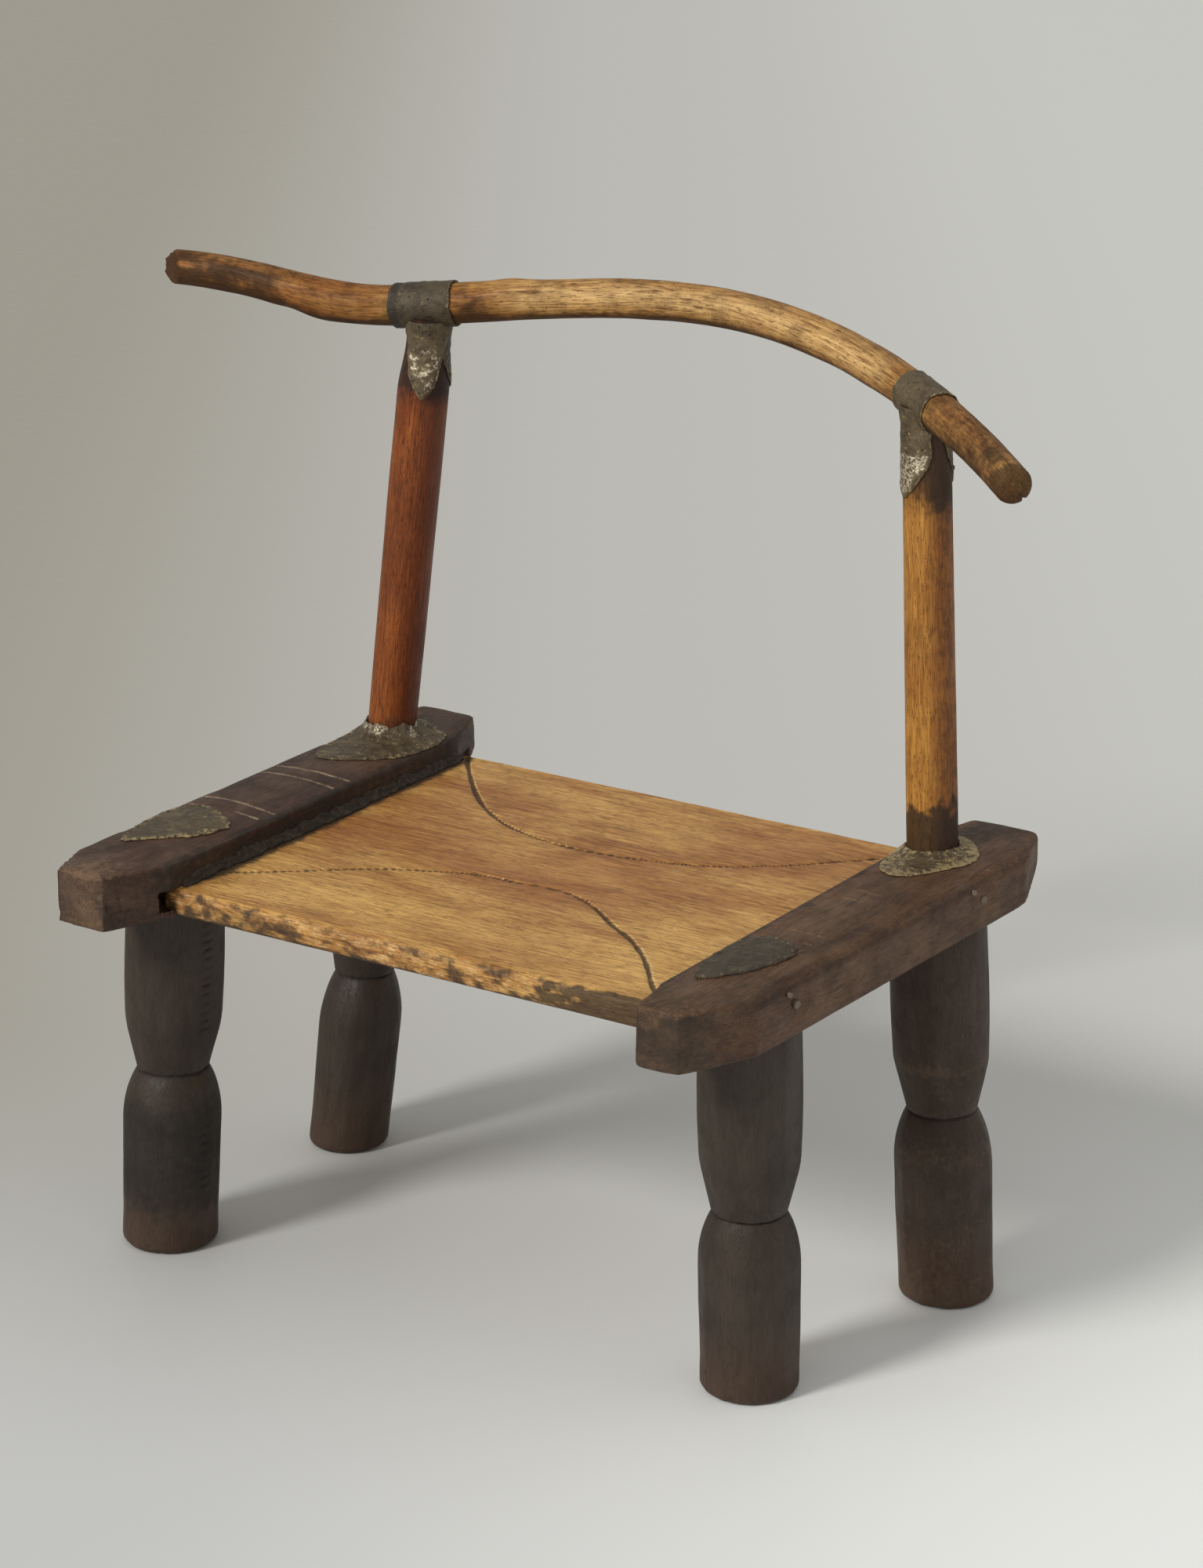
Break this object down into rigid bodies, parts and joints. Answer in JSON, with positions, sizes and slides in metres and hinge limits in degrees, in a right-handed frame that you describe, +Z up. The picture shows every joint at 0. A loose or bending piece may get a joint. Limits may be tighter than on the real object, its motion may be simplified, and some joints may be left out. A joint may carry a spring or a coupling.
{
  "type": "low wooden chair",
  "caption": "Low wooden birthing chair: plank seat between heavy side rails on notched round legs, with a bent branch on posts for a back and hammered metal repairs",
  "frame": {"origin": "on the floor, under the middle of the whole chair's box", "axes": "+Z up, -Y out of the front of the seat, +X to the right as seen from the front, along the branch that makes the back"},
  "size_m": [0.6996, 0.4036, 0.5963],
  "materials": {
    "seat_wood": "worn, hand polished",
    "rail_wood": "dark, worn satin",
    "leg_wood": "dark, worn satin",
    "left_post_wood": "polished by use",
    "right_post_wood": "polished by use",
    "branch_wood": "polished by use",
    "sheet_metal": "tarnished, hammered",
    "tack_metal": "tarnished",
    "nail_iron": "rusted",
    "resin": "lumpy, dull"
  },
  "bodies": {
    "root": {"seat_plank": "seat_wood", "left_rail": "rail_wood", "right_rail": "rail_wood", "front_left_leg": "leg_wood", "front_right_leg": "leg_wood", "rear_left_leg": "leg_wood", "rear_right_leg": "leg_wood", "left_post": "left_post_wood", "right_post": "right_post_wood", "back_rail": "branch_wood", "left_sleeve": "sheet_metal", "right_sleeve": "sheet_metal", "front_left_patch": "sheet_metal", "front_right_patch": "sheet_metal", "rear_left_collar": "sheet_metal", "rear_right_collar": "sheet_metal", "left_resin_seam": "resin", "right_resin_seam": "resin", "left_rail_nails": "nail_iron", "right_rail_nails": "nail_iron", "front_left_tacks": "tack_metal", "front_right_tacks": "tack_metal", "rear_left_tacks": "tack_metal", "rear_right_tacks": "tack_metal", "left_sleeve_tacks": "tack_metal", "right_sleeve_tacks": "tack_metal"}
  },
  "joints": []
}
